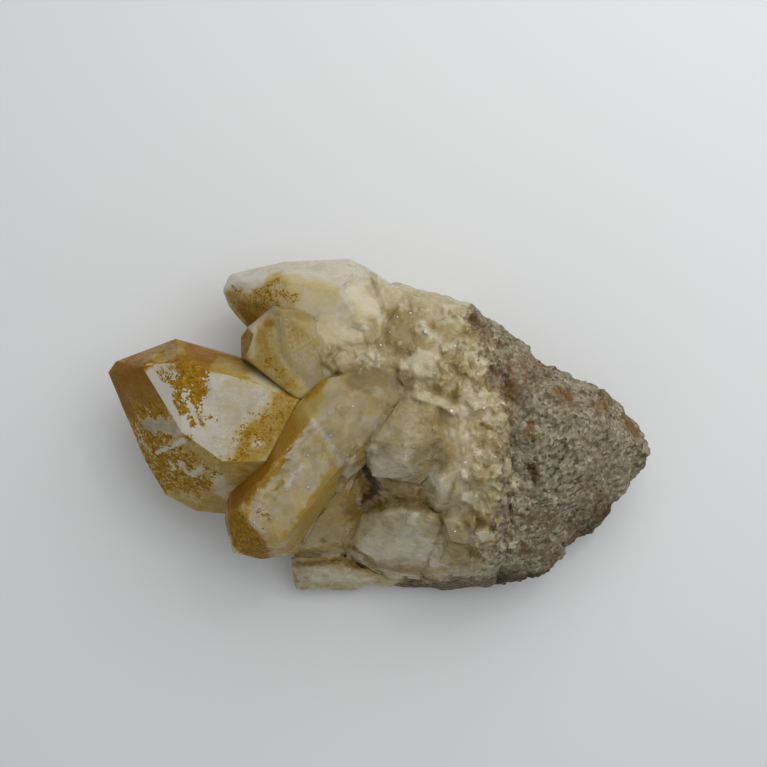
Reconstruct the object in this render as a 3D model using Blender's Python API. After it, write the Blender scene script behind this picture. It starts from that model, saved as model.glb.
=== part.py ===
"""A cluster of iron-stained quartz points on a loose lump of its host rock.

Nine crystals grow out of a rough base of intergrown milky quartz, and the base passes
over into a granular grey rock that ends in a blunt tip.  Each crystal is the convex
solid of the corners of its facets.  Where two pieces met as they grew, the one in
front keeps its whole shape and the one behind is carved back to a hairline seam.

Corners are in millimetres, with +Z up: X runs from the left point to the rock's tip.
"""
import math

import bmesh
import bpy
from mathutils import Vector

MM = 0.001
SEAM = 0.3          # gap between pieces that grew against each other
BASE = -2.0         # the rough lumps reach below the break, which is then cut flat at 0
FLAT = 1.5          # degrees; corners that lie this close to a plane share one facet
ROUGH_GRAIN = 1.7   # edge length of the rough rock's facets before they are thinned
ROUGH_HEIGHT = 2.4  # how far bumps and hollows swing on the rough pieces
BASE_FACES = 2600
ROCK_FACES = 2600


def clear_scene():
    for old in list(bpy.data.objects):
        bpy.data.objects.remove(old)


def stone(name, red, green, blue, roughness, transmission=0.0):
    """A non-metal with a linear base colour; quartz lets part of the light through."""
    material = bpy.data.materials.new(name)
    material.use_nodes = True
    shader = material.node_tree.nodes["Principled BSDF"]
    shader.inputs["Base Color"].default_value = (red, green, blue, 1.0)
    shader.inputs["Roughness"].default_value = roughness
    shader.inputs["Metallic"].default_value = 0.0
    shader.inputs["IOR"].default_value = 1.544
    shader.inputs["Transmission Weight"].default_value = transmission
    return material


def hull(*groups):
    """The convex solid of all the corners in the groups, as a bmesh in metres."""
    mesh = bmesh.new()
    for group in groups:
        for corner in group:
            mesh.verts.new(Vector(corner) * MM)
    found = bmesh.ops.convex_hull(mesh, input=mesh.verts)
    inner = {part for part in found["geom_interior"] + found["geom_unused"]
             if isinstance(part, bmesh.types.BMVert)}
    bmesh.ops.delete(mesh, geom=list(inner), context="VERTS")
    bmesh.ops.dissolve_limit(mesh, angle_limit=math.radians(FLAT),
                             verts=mesh.verts, edges=mesh.edges)
    bmesh.ops.recalc_face_normals(mesh, faces=mesh.faces)
    return mesh


def place(name, mesh, material):
    """Makes the object of a finished bmesh."""
    data = bpy.data.meshes.new(name)
    mesh.to_mesh(data)
    mesh.free()
    data.materials.append(material)
    piece = bpy.data.objects.new(name, data)
    bpy.context.collection.objects.link(piece)
    return piece


def bake(piece):
    """Turns the piece's modifiers into its own mesh."""
    bpy.context.view_layer.update()
    graph = bpy.context.evaluated_depsgraph_get()
    finished = bpy.data.meshes.new_from_object(piece.evaluated_get(graph))
    piece.modifiers.clear()
    piece.data = finished


def boolean(piece, other, operation):
    step = piece.modifiers.new(operation.lower(), "BOOLEAN")
    step.object = other
    step.operation = operation
    step.solver = "EXACT"
    bake(piece)
    bpy.data.objects.remove(other)


def grown(front):
    """A copy of a piece, every facet moved out by the seam's width."""
    mesh = bmesh.new()
    mesh.from_mesh(front.data)
    mesh.normal_update()
    steps = [(vert, vert.normal * vert.calc_shell_factor()) for vert in mesh.verts]
    for vert, step in steps:
        vert.co += step * SEAM * MM
    return place(front.name + "_seam", mesh, front.data.materials[0])


def extent(piece):
    corners = [vert.co for vert in piece.data.vertices]
    low = Vector(min(corner[axis] for corner in corners) for axis in range(3))
    high = Vector(max(corner[axis] for corner in corners) for axis in range(3))
    return low, high


def near(one, two):
    """True where the boxes of two pieces come closer than the seam."""
    low_one, high_one = extent(one)
    low_two, high_two = extent(two)
    reach = SEAM * MM
    return all(low_one[axis] - reach < high_two[axis] and low_two[axis] - reach < high_one[axis]
               for axis in range(3))


def shells(mesh):
    """The separate closed bodies of a bmesh, as lists of faces."""
    left = set(mesh.faces)
    found = []
    while left:
        body = set()
        edge_of_body = [left.pop()]
        while edge_of_body:
            face = edge_of_body.pop()
            body.add(face)
            for edge in face.edges:
                for other in edge.link_faces:
                    if other in left:
                        left.remove(other)
                        edge_of_body.append(other)
        found.append(list(body))
    return found


def keep_largest(piece):
    """Drops the splinters that carving leaves, and merges its needle-thin facets."""
    mesh = bmesh.new()
    mesh.from_mesh(piece.data)
    bmesh.ops.remove_doubles(mesh, verts=mesh.verts, dist=0.02 * MM)
    bodies = sorted(shells(mesh), key=lambda faces: sum(face.calc_area() for face in faces))
    for splinter in bodies[:-1]:
        bmesh.ops.delete(mesh, geom=splinter, context="FACES")
    loose = [vert for vert in mesh.verts if not vert.link_faces]
    bmesh.ops.delete(mesh, geom=loose, context="VERTS")
    mesh.to_mesh(piece.data)
    mesh.free()


def rough(name, lumps, faces, grain_size, material):
    """Fuses lumps into one body, roughens its skin and cuts its base flat."""
    joined = bmesh.new()
    for lump in lumps:
        part = bpy.data.meshes.new("lump")
        lump.to_mesh(part)
        lump.free()
        joined.from_mesh(part)
    piece = place(name, joined, material)

    fuse = piece.modifiers.new("fuse", "REMESH")
    fuse.mode = "VOXEL"
    fuse.voxel_size = ROUGH_GRAIN * MM

    bumps = bpy.data.textures.new(name + "_bumps", "CLOUDS")
    bumps.noise_scale = grain_size * MM
    bumps.noise_depth = 2
    swell = piece.modifiers.new("swell", "DISPLACE")
    swell.texture = bumps
    swell.texture_coords = "LOCAL"
    swell.mid_level = 0.5
    swell.strength = ROUGH_HEIGHT * MM

    bake(piece)
    thin = piece.modifiers.new("thin", "DECIMATE")
    thin.ratio = min(1.0, faces / (2.0 * len(piece.data.polygons)))
    bake(piece)

    above = bmesh.new()
    bmesh.ops.create_cube(above, size=200 * MM)
    bmesh.ops.translate(above, verts=above.verts, vec=(0.0, 0.0, 100 * MM))
    boolean(piece, place("above_the_break", above, material), "INTERSECT")
    return piece


def middle_point(material):
    """Short stout point in front, leaning over the left and upper points."""
    narrow_side = [(-24, 10, 25), (-25.5, 8.5, 22), (-25.5, 4.5, 21.5)]
    front_edge = [(-22.5, 8.5, 29.5), (-24, 4.5, 28)]
    ridge = [(-17.5, 12.5, 33.5), (-16.5, -1.5, 30)]
    upper_edge = [(-19, 13.5, 30), (-13.5, 12.5, 31), (-12, 10.5, 31)]
    root = [(-15, -3, 26), (-5.5, 2.5, 30), (-9.5, -1, 27), (-6.5, 6.5, 30)]
    underside = [(-24.5, 8, 15), (-23.5, 5, 15), (-15.5, -0.5, 13), (-7, 4.5, 13),
                 (-10, 10, 13), (-19, 12.5, 13)]
    solid = hull(narrow_side, front_edge, ridge, upper_edge, root, underside)
    return place("middle_point", solid, material)


def broken_point(material):
    """Long crystal lying across the cluster: its front is snapped off along a slant,
    its root is a rounded grey swelling."""
    left_edge = [(-14.5, -3, 30), (-21.5, -12.5, 25.5), (-27.5, -19, 20), (-28.5, -21.5, 18)]
    left_of_break = [(-12, -6, 35.5), (-21, -16.5, 30), (-27, -22, 24)]
    right_of_break = [(-7, -13.5, 34), (-13.5, -22, 30), (-17.5, -27.5, 27.5)]
    snapped_end = [(-24, -23.5, 27), (-21, -26, 27)]
    tip = [(-29, -25, 17), (-27.5, -31, 17), (-22, -32, 17.5)]
    right_edge = [(-16.5, -31, 18), (-13.5, -24, 22), (-8, -18, 27)]
    underside = [(-11.5, -5, 20), (-22.5, -16, 14), (-27, -22.5, 12), (-27, -30, 11),
                 (-22.5, -31.5, 11), (-17.5, -29, 11), (-8, -17.5, 18)]
    blade = hull(left_edge, left_of_break, right_of_break, snapped_end, tip, right_edge,
                 underside)

    far_rim = [(-14.5, -3, 30), (-11, 0.5, 31), (-6.5, 2, 32), (-2.5, 3, 32), (2, 2.5, 31.5)]
    right_rim = [(4.5, -0.5, 31), (2.5, -3, 33.5), (0.5, -7, 33), (-3.5, -14.5, 28),
                 (-6.5, -17, 27)]
    crown = [(-12, -6, 35), (-7, -13, 34), (-5.5, -1.5, 36.5), (-1.5, -0.5, 35.5),
             (-6.5, -8.5, 36)]
    foot = [(-13.5, -4, 18), (-7, 0.5, 16), (3, 0.5, 16), (0.5, -8.5, 16), (-5, -15, 18),
            (-11.5, -10.5, 18)]
    root = place("root", hull(far_rim, right_rim, crown, foot), material)
    piece = place("broken_point", blade, material)
    boolean(piece, root, "UNION")
    return piece


def central_crystal(material):
    """Stubby milky crystal that overhangs the dark hollow in front of it."""
    rim = [(-3.5, -10, 32), (-2, -16, 29), (6.5, -17.5, 28.5), (10, -13.5, 29),
           (12.5, -11, 29.5), (12, -7, 30.5), (9.5, -3.5, 31.5), (2.5, -3, 33)]
    crown = [(1.5, -5, 36), (8, -5, 36.5), (9.5, -9, 35.5), (3.5, -10.5, 37),
             (-1.5, -9.5, 35), (3.5, -13.5, 35)]
    foot = [(-2, -11.5, 24), (-1, -15.5, 23.5), (6, -16.5, 23.5), (11, -12, 23),
            (10, -5.5, 23), (3, -4.5, 22)]
    return place("central_crystal", hull(rim, crown, foot), material)


def side_crystal(material):
    """Small milky crystal on the right of the hollow."""
    rim = [(6.5, -17.5, 27), (8, -16, 29), (11.5, -13, 31), (13, -11.5, 31.5),
           (15, -13, 31), (16.5, -18.5, 29), (15.5, -21.5, 27), (11.5, -23, 25),
           (8.5, -23.5, 23), (7, -21.5, 24)]
    crown = [(9.5, -16.5, 33), (13, -14.5, 34), (13.5, -18.5, 32.5), (10, -20, 31)]
    foot = [(9, -18.5, 17), (14, -14.5, 18), (16, -19.5, 17), (10.5, -23, 16)]
    return place("side_crystal", hull(rim, crown, foot), material)


def left_point(material):
    """The largest crystal: a six-sided prism with a low pyramid at its left end."""
    tip = [(-50, 2, 18), (-48.5, 4, 18.5)]
    far_edge = [(-37, 8, 22.5), (-11, 0, 23)]
    pyramid = [(-42.5, 3, 25.5), (-37.5, -3, 27), (-35, -8.5, 28.5), (-35, 3.5, 29)]
    top_facet = [(-25, 1, 29.5), (-28, -13.5, 28.5), (-14.5, -3, 30), (-14.5, -13.5, 29.5)]
    near_edge = [(-43.5, -14, 17), (-40, -20.5, 15), (-34.5, -23.5, 14.5), (-28.5, -24, 15),
                 (-15.5, -21.5, 15)]
    underside = [(-47.5, 1, 12), (-38, 5, 10), (-41.5, -13.5, 8), (-37.5, -19, 7.5),
                 (-28.5, -22, 6), (-32.5, -3, 4.5), (-35, -12.5, 4.5)]
    root = [(-9, 0, 8), (-8, -7, 22), (-9, -16, 8), (-9, -17, 16)]
    solid = hull(tip, far_edge, pyramid, top_facet, near_edge, underside, root)
    return place("left_point", solid, material)


def upper_point(material):
    """Clear-tipped crystal along the far side, lying almost flat."""
    tip = [(-29.5, 17, 17), (-28, 20, 17)]
    far_edge = [(-22.5, 20.5, 19), (-18, 22, 20), (-11, 22, 20), (-6, 22.5, 20),
                (-3, 21, 20), (1.5, 18, 20)]
    near_edge = [(-28.5, 14, 15), (-25, 10, 14), (-15.5, 4.5, 14), (2.5, 9.5, 22)]
    ridge = [(-25.5, 18.5, 21), (-21.5, 15, 23), (-17.5, 18.5, 26), (-7.5, 16, 28.5)]
    crown = [(-14.5, 11.5, 27.5), (-2.5, 9, 30.5)]
    underside = [(-27.5, 17.5, 13), (-23, 19.5, 10), (-7, 21, 9), (1, 15.5, 9),
                 (-24, 12.5, 10), (-15.5, 8, 9), (1.5, 8, 9)]
    solid = hull(tip, far_edge, near_edge, ridge, crown, underside)
    return place("upper_point", solid, material)


def lower_crystal(material):
    """Rounded milky crystal at the near side, below the hollow."""
    far_rim = [(-5, -24, 15), (-1.5, -21.5, 19), (2, -20, 21.5), (6.5, -19.5, 23),
               (10, -20.5, 24)]
    near_rim = [(13.5, -24.5, 22.5), (13.5, -29.5, 17), (12.5, -33, 12), (7, -37, 8.5),
                (1, -37, 8), (-7, -32.5, 10)]
    crown = [(0.5, -23, 23.5), (5.5, -22, 27), (10, -24.5, 26), (8.5, -29.5, 20.5),
             (0.5, -29.5, 18)]
    foot = [(-3.5, -26.5, 3), (3, -22.5, 2), (13, -26.5, 2), (12, -34, 1.5), (6, -36, 1.5),
            (-4.5, -33, 3)]
    return place("lower_crystal", hull(far_rim, near_rim, crown, foot), material)


def golden_point(material):
    """Olive-gold crystal tucked under the broken one."""
    far_end = [(-4, -14.5, 24), (-8.5, -18.5, 25), (-2, -19.5, 20)]
    crown = [(-6.5, -20, 25), (-10.5, -23, 23.5), (-14.5, -25.5, 20), (-14, -29.5, 15.5),
             (-7.5, -27.5, 17)]
    near_edge = [(-4.5, -24.5, 16), (-5, -29, 12), (-7, -32.5, 9.5), (-17, -32.5, 9)]
    foot = [(-5, -17.5, 8), (-3.5, -20.5, 6), (-6, -26, 4), (-7.5, -31, 3), (-15, -31, 4),
            (-12, -24, 6)]
    return place("golden_point", hull(far_end, crown, near_edge, foot), material)


def corner_crystal(material):
    """Sharp splinter of clear quartz at the near corner of the break."""
    ridge = [(-17.5, -32.5, 10), (-13.5, -33.5, 11), (-10, -32.5, 13), (-7, -32.5, 12),
             (-4, -35.5, 9), (-0.5, -37, 7)]
    near_edge = [(-17, -39.5, 4), (-13.5, -38.5, 4), (-9.5, -38, 4.5), (-6, -40, 3)]
    foot = [(-16.5, -34.5, 2), (-16, -39, 0.5), (-6, -39.5, 0.5), (-1.5, -38, 0.5),
            (-7.5, -34.5, 0.5)]
    return place("corner_crystal", hull(ridge, near_edge, foot), material)


def milky_base(material):
    """Intergrown milky quartz that all the points stand on, snapped flat underneath."""
    far_rim = [(-9.5, 6, 22), (-1.5, 15, 19), (1.5, 18, 20), (6.5, 16, 21), (12, 14.5, 22),
               (15.5, 13.5, 24), (17.5, 11, 25)]
    rock_side = [(20, 4, 31), (20.5, -8, 33), (20.5, -20, 31), (21, -31.5, 22), (21, -38.5, 6)]
    near_rim = [(11, -39.5, 4), (-5.5, -37.5, 4), (-10, -30, 5), (-13.5, -10.5, 15)]
    crown = [(-6, 6, 27), (1, 11, 28), (9.5, 9, 31), (15, 6.5, 32.5), (4.5, 0.5, 31.5),
             (13, -3, 33.5), (15.5, -14.5, 33), (15, -25.5, 27), (-6, -3, 30)]
    base = [(-10.5, -3, BASE), (-6.5, 8.5, BASE), (2, 14.5, BASE), (14, 12.5, BASE),
            (22.5, 4.5, BASE), (23.5, -22.5, BASE), (21.5, -36.5, BASE), (11, -38, BASE),
            (-4.5, -36.5, BASE), (-9.5, -30.5, BASE), (-12, -17, BASE)]
    lump = hull(far_rim, rock_side, near_rim, crown, base)
    return rough("milky_base", [lump], BASE_FACES, 6.0, material)


def host_rock(material):
    """Granular grey rock at the right: a main lump, a shoulder, a tip and a lower ledge."""
    main = hull(
        [(20.5, 5, 27), (24, 3, 25), (33, 0.5, 23), (39, -1, 21), (43.5, -4.5, 18),
         (45, -6.5, 17), (46, -11, 17), (44.5, -19, 15), (39.5, -23, 16), (34, -27, 16),
         (20, -31.5, 22)],
        [(19, -3, 32), (23, -3, 33), (30, -4, 32), (38.5, -6.5, 28.5), (41.5, -11.5, 25),
         (27.5, -15, 31), (35.5, -17, 26), (24, -24.5, 28)],
        [(44.5, -9, 8), (45.5, -15.5, 8), (21, 4.5, BASE), (32.5, -2, BASE),
         (40.5, -7, BASE), (42, -15, BASE), (37.5, -23.5, BASE), (30.5, -30.5, BASE),
         (21, -34.5, BASE)])
    shoulder = hull(
        [(14.5, 13.5, 23), (16.5, 11.5, 23), (21, 10, 22), (24, 8, 21), (25.5, 7, 20),
         (26.5, 5.5, 19), (26.5, 4, 19), (24.5, 0.5, 27)],
        [(17, 8.5, 28), (21, 6, 28.5), (24, 3, 28), (17, 0.5, 27), (25, 6.5, 8)],
        [(18, 9.5, BASE), (23.5, 6.5, BASE), (26.5, 1.5, BASE), (19, -1.5, BASE)])
    tip = hull(
        [(43, -6.5, 18), (47, -9, 16), (48.5, -11, 15), (49.5, -13, 14), (48.5, -15.5, 13),
         (46.5, -17, 13), (43, -18.5, 15), (40.5, -12, 22), (44.5, -11, 20)],
        [(44, -9, 8), (48.5, -11.5, 8.5), (48.5, -14.5, 8), (44, -17.5, 7)])
    ledge = hull(
        [(44, -20.5, 11), (43, -23.5, 9), (41, -27, 8), (38.5, -28.5, 8), (36, -29, 8),
         (33, -29.5, 9), (32.5, -21.5, 15), (40, -17.5, 15)],
        [(42, -20.5, 2), (41, -26, 3), (37, -28, 2.5), (34.5, -26.5, 1), (36, -20.5, 1)])
    near_side = hull(
        [(21.5, -38.5, 5), (24.5, -38, 6), (27.5, -37, 8), (29.5, -36, 10), (31.5, -34, 12),
         (33, -32, 13), (34, -29, 14), (32.5, -23, 20), (18.5, -22, 27)],
        [(23, -28.5, 25), (28.5, -26, 23), (22, -33, 18), (28.5, -31.5, 17)],
        [(21.5, -36.5, BASE), (26.5, -35.5, BASE), (30.5, -32.5, BASE), (32.5, -26.5, BASE),
         (21.5, -24.5, BASE)])
    lumps = [main, shoulder, tip, ledge, near_side]
    return rough("host_rock", lumps, ROCK_FACES, 4.0, material)


def carve_seams(pieces):
    """Carves each piece back from all those before it in the list."""
    fronts = []
    for piece in pieces:
        whole = piece.data.copy()
        for front in fronts:
            if near(piece, front):
                boolean(piece, grown(front), "DIFFERENCE")
        keep_largest(piece)
        uncut = bpy.data.objects.new(piece.name + "_uncut", whole)
        fronts.append(uncut)
    for uncut in fronts:
        bpy.data.objects.remove(uncut)


def centre_on_base(pieces):
    """Puts the origin at the middle of the cluster's outline, on the surface it rests on."""
    boxes = [extent(piece) for piece in pieces]
    low = Vector(min(box[0][axis] for box in boxes) for axis in range(3))
    high = Vector(max(box[1][axis] for box in boxes) for axis in range(3))
    shift = Vector((-(low.x + high.x) / 2, -(low.y + high.y) / 2, -low.z))
    for piece in pieces:
        for vert in piece.data.vertices:
            vert.co += shift


clear_scene()
stained = stone("iron_stained_quartz", 0.36, 0.20, 0.06, 0.35, 0.5)
golden = stone("golden_quartz", 0.26, 0.16, 0.05, 0.25, 0.6)
milky = stone("milky_quartz", 0.55, 0.50, 0.40, 0.35, 0.4)
granular = stone("granular_grey_rock", 0.24, 0.21, 0.16, 0.95)

cluster = [middle_point(stained), broken_point(stained), central_crystal(milky),
           side_crystal(milky), left_point(stained), upper_point(stained),
           lower_crystal(milky), golden_point(golden), corner_crystal(golden),
           milky_base(milky), host_rock(granular)]
carve_seams(cluster)
centre_on_base(cluster)
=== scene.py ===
"""A cluster of iron-stained quartz points on a lump of granular rock, on a sheet of paper."""
import math
import random

import bmesh
import bpy
import numpy as np
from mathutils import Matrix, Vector, noise


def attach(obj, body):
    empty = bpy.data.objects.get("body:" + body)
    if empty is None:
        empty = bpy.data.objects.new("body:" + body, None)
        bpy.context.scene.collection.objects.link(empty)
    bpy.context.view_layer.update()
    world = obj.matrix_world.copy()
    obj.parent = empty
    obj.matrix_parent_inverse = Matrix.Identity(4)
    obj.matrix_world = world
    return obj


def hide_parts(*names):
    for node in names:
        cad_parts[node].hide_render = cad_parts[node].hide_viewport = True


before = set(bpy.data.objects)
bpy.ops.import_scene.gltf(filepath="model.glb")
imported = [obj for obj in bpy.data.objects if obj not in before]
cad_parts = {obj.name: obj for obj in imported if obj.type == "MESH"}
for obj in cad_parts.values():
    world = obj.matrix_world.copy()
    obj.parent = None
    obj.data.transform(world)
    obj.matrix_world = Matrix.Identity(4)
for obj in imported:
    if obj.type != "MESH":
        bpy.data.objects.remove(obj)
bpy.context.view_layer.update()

# The host rock: a granular grey rock of quartz, feldspar and mica, broken by a hammer into
# uneven faces and rusted in patches.  Its solid is remeshed finely and then roughened twice,
# by lumps a few millimetres wide and by its grains.
MM = 0.001


def only(piece):
    """Leaves one object selected and active, in object mode."""
    bpy.ops.object.select_all(action="DESELECT")
    piece.select_set(True)
    bpy.context.view_layer.objects.active = piece


def copy_node(node, name):
    """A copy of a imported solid, its loose triangles merged into one skin."""
    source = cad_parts[node]
    piece = bpy.data.objects.new(name, source.data.copy())
    bpy.context.scene.collection.objects.link(piece)
    piece.data.materials.clear()
    only(piece)
    bpy.ops.object.mode_set(mode="EDIT")
    bpy.ops.mesh.select_all(action="SELECT")
    bpy.ops.mesh.remove_doubles(threshold=0.01 * MM)
    bpy.ops.mesh.tris_convert_to_quads(face_threshold=math.radians(1), shape_threshold=math.pi)
    bpy.ops.mesh.dissolve_limited(angle_limit=math.radians(1))
    bpy.ops.object.mode_set(mode="OBJECT")
    return piece


def work(piece, kind, **settings):
    """Adds one modifier with its settings and applies it."""
    only(piece)
    modifier = piece.modifiers.new(kind.lower(), kind)
    for name, value in settings.items():
        setattr(modifier, name, value)
    bpy.ops.object.modifier_apply(modifier=modifier.name)


def bumps(kind, size, **settings):
    """A texture for Displace whose bumps are about the given size in metres."""
    texture = bpy.data.textures.new(kind.lower(), kind)
    texture.noise_scale = size
    for name, value in settings.items():
        setattr(texture, name, value)
    return texture


def linear(code):
    """An sRGB hex colour as linear RGBA."""
    parts = [int(code[i:i + 2], 16) / 255 for i in (1, 3, 5)]
    return [part / 12.92 if part <= 0.04045 else ((part + 0.055) / 1.055) ** 2.4
            for part in parts] + [1.0]


def add(material, kind, links=None, **settings):
    """Adds a shader node; links maps its sockets to values, to outputs or to other nodes,
    which give their first output in use."""
    node = material.node_tree.nodes.new(kind)
    for name, value in settings.items():
        setattr(node, name, value)
    for socket, value in (links or {}).items():
        if isinstance(value, bpy.types.Node):
            value = next(output for output in value.outputs if output.enabled)
        if isinstance(value, bpy.types.NodeSocket):
            material.node_tree.links.new(value, node.inputs[socket])
        else:
            node.inputs[socket].default_value = value
    return node


def new_material(name):
    """A material whose node tree is still empty."""
    material = bpy.data.materials.new(name)
    material.use_nodes = True
    material.node_tree.nodes.clear()
    return material


def ramp_of(node, stops):
    """Gives a colour ramp its stops, each a place and an sRGB hex colour."""
    ramp = node.color_ramp
    for spot, code in stops[1:-1]:
        ramp.elements.new(spot)
    for element, (spot, code) in zip(ramp.elements, stops):
        element.position = spot
        element.color = linear(code)


def facing(azimuth, slope):
    """The direction a facet faces: azimuth from +X round to +Y, slope down from straight up."""
    turn, tilt = math.radians(azimuth), math.radians(slope)
    return np.array([math.cos(turn) * math.sin(tilt), math.sin(turn) * math.sin(tilt),
                     math.cos(tilt)])


def seen_from_above(piece):
    """Where each vertex lies seen from above, in mm, and a small wandering shift for it."""
    spots = [vertex.co / MM for vertex in piece.data.vertices]
    shifts = [0.9 * noise.noise_vector(spot * 0.55) + 0.5 * noise.noise_vector(spot * 1.9)
              for spot in spots]
    return np.array(spots)[:, :2], np.array(shifts)[:, :2]


def nearness(plan, shift, first, last, radius):
    """1 on a line seen from above, falling softly to 0 past its radius, with an edge that
    wanders; all in mm."""
    first, last = np.array(first), np.array(last)
    run = last - first
    spots = plan + shift * min(1.0, 0.3 + radius / 2)
    along = np.clip((spots - first) @ run / max(run @ run, 1e-9), 0, 1)
    away = np.linalg.norm(spots - first - along[:, None] * run, axis=1) / radius
    full, gone = 0.4, 1.6
    soft = np.clip((gone - away) / (gone - full), 0, 1)
    return soft * soft * (3 - 2 * soft)


# Faces that lean less than 13 degrees from a facet belong to it.
SAME_FACET = math.cos(math.radians(13))


def paint(piece, name, start, facets=(), strokes=()):
    """Paints a number on every face corner.  A facet takes its value by the way it faces; a
    stroke is a soft line seen from above, in mm, kept to one facet where it names one."""
    mesh = piece.data
    count = len(mesh.loops)
    corner = np.empty(count, dtype=np.int32)
    mesh.loops.foreach_get("vertex_index", corner)
    plan, shift = seen_from_above(piece)
    normals = np.empty(len(mesh.polygons) * 3)
    mesh.polygons.foreach_get("normal", normals)
    sides = np.empty(len(mesh.polygons), dtype=np.int32)
    mesh.polygons.foreach_get("loop_total", sides)
    normals = np.repeat(normals.reshape(-1, 3), sides, axis=0)
    value = np.full(count, float(start))
    for azimuth, slope, level in facets:
        value[normals @ facing(azimuth, slope) > SAME_FACET] = level
    for first, last, radius, level, *side in strokes:
        soft = nearness(plan, shift, first, last, radius)[corner]
        if side:
            soft[normals @ facing(*side[0]) < SAME_FACET] = 0.0
        value += (level - value) * soft
    attribute = mesh.attributes.new(name, "FLOAT", "CORNER")
    attribute.data.foreach_set("value", value)


def quartz(name, stops, clear, deep, crusted=False, rocky=False, gloss=0.2):
    """Quartz as painted: "tint" runs from water-clear to its darkest colour, "mottle" makes
    it uneven, "smoke" greys it, "shatter" breaks its face into small facets, "crust" covers
    it with matt ochre iron oxide and "rock" turns it into granular rock, rusty where "rust"
    is high.  The clearest quartz lets the share clear of the light through, and the darkest
    the share deep."""
    # Scales are per metre.  Wisps are 2 mm wide, clouds 7 mm, streaks 0.7 mm and ten times as
    # long, and the fine grain 0.7 mm.  Oxide flakes are finer than the 0.3 mm drawn here,
    # which is as coarse as they need to be to show.
    material = new_material(name)
    place = add(material, "ShaderNodeTexCoord").outputs["Object"]
    painted = {}
    for layer in ("tint", "mottle", "smoke", "shatter", "crust", "rock", "rust"):
        node = add(material, "ShaderNodeAttribute", attribute_name=layer)
        painted[layer] = node.outputs["Fac"]
    wisps = add(material, "ShaderNodeTexNoise", {"Vector": place, "Scale": 520.0, "Detail": 8.0,
                                                 "Roughness": 0.7, "Distortion": 0.4})
    wisp = add(material, "ShaderNodeMath", {0: wisps, 1: -0.5}, operation="ADD")
    clouds = add(material, "ShaderNodeTexNoise", {"Vector": place, "Scale": 150.0,
                                                  "Detail": 5.0, "Roughness": 0.55,
                                                  "Distortion": 1.2})
    cloud = add(material, "ShaderNodeMath", {0: clouds, 1: -0.5}, operation="ADD")
    fine = add(material, "ShaderNodeTexNoise", {"Vector": place, "Scale": 1500.0,
                                                "Detail": 4.0, "Roughness": 0.7})
    flakes = add(material, "ShaderNodeTexVoronoi", {"Vector": place, "Scale": 3400.0})
    flake = add(material, "ShaderNodeSeparateColor", {"Color": flakes.outputs["Color"]})
    grain = add(material, "ShaderNodeMath", {0: flake, 1: -0.5}, operation="ADD")
    grow = add(material, "ShaderNodeAttribute", attribute_name="grow").outputs["Vector"]
    streaks = add(material, "ShaderNodeTexNoise", {"Vector": grow, "Scale": 1400.0,
                                                   "Detail": 4.0, "Roughness": 0.6})
    streak = add(material, "ShaderNodeMath", {0: streaks, 1: -0.5}, operation="ADD")

    # Facets of broken crystal, 3 mm wide with smaller ones of 1 mm: cells that each lean
    # their own way and hold their own tone.
    bend = add(material, "ShaderNodeTexNoise", {"Vector": place, "Scale": 400.0,
                                                "Detail": 2.0})
    bent = add(material, "ShaderNodeVectorMath", {0: bend.outputs["Color"],
                                                  1: (1.6 * MM,) * 3, 2: place},
               operation="MULTIPLY_ADD")
    large = add(material, "ShaderNodeTexVoronoi", {"Vector": bent, "Scale": 330.0})
    small = add(material, "ShaderNodeTexVoronoi", {"Vector": bent, "Scale": 900.0})
    cells = add(material, "ShaderNodeMix", {"Factor": 0.45, 6: large.outputs["Color"],
                                            7: small.outputs["Color"]}, data_type="RGBA")
    lean = add(material, "ShaderNodeVectorMath", {0: cells, 1: (-0.5, -0.5, -0.5)},
               operation="ADD")
    lean = add(material, "ShaderNodeVectorMath", {0: lean, "Scale": painted["shatter"]},
               operation="SCALE")
    normal = add(material, "ShaderNodeNewGeometry").outputs["Normal"]
    normal = add(material, "ShaderNodeVectorMath", {0: lean, 1: normal}, operation="ADD")
    normal = add(material, "ShaderNodeVectorMath", {0: normal}, operation="NORMALIZE")
    tone = add(material, "ShaderNodeSeparateXYZ", {"Vector": lean})

    mixed = wisp
    for part, share in ((streak, 0.5), (cloud, 0.4), (grain, 0.3)):
        mixed = add(material, "ShaderNodeMath", {0: part, 1: share, 2: mixed},
                    operation="MULTIPLY_ADD")
    depth = add(material, "ShaderNodeMath", {0: mixed, 1: painted["mottle"],
                                             2: painted["tint"]}, operation="MULTIPLY_ADD")
    depth = add(material, "ShaderNodeMath", {0: tone, 1: 0.55, 2: depth},
                operation="MULTIPLY_ADD")
    body = add(material, "ShaderNodeValToRGB", {"Fac": depth})
    ramp_of(body, stops)
    smoke = add(material, "ShaderNodeMath", {0: cloud, 1: 1.2, 2: painted["smoke"]},
                operation="MULTIPLY_ADD", use_clamp=True)
    bright = add(material, "ShaderNodeMapRange", {"Value": painted["tint"], "From Min": 0.45,
                                                  "From Max": 0.7, "To Min": 1.0,
                                                  "To Max": 0.0})
    smoke = add(material, "ShaderNodeMath", {0: smoke, 1: bright}, operation="MULTIPLY")
    colour = add(material, "ShaderNodeMix", {"Factor": smoke, 6: body,
                                             7: linear("#8C7A52")}, data_type="RGBA")
    rough = 0.12
    sheer = add(material, "ShaderNodeMapRange", {"Value": depth, "From Min": 0.1,
                                                 "From Max": 0.55, "To Min": clear,
                                                 "To Max": deep})
    glow = 0.4
    skin = add(material, "ShaderNodeMath", {0: streak, 1: painted["mottle"]},
               operation="MULTIPLY")
    skin = add(material, "ShaderNodeMath", {0: skin, 1: 4.0}, operation="MULTIPLY")
    cover = None
    if crusted:
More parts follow.
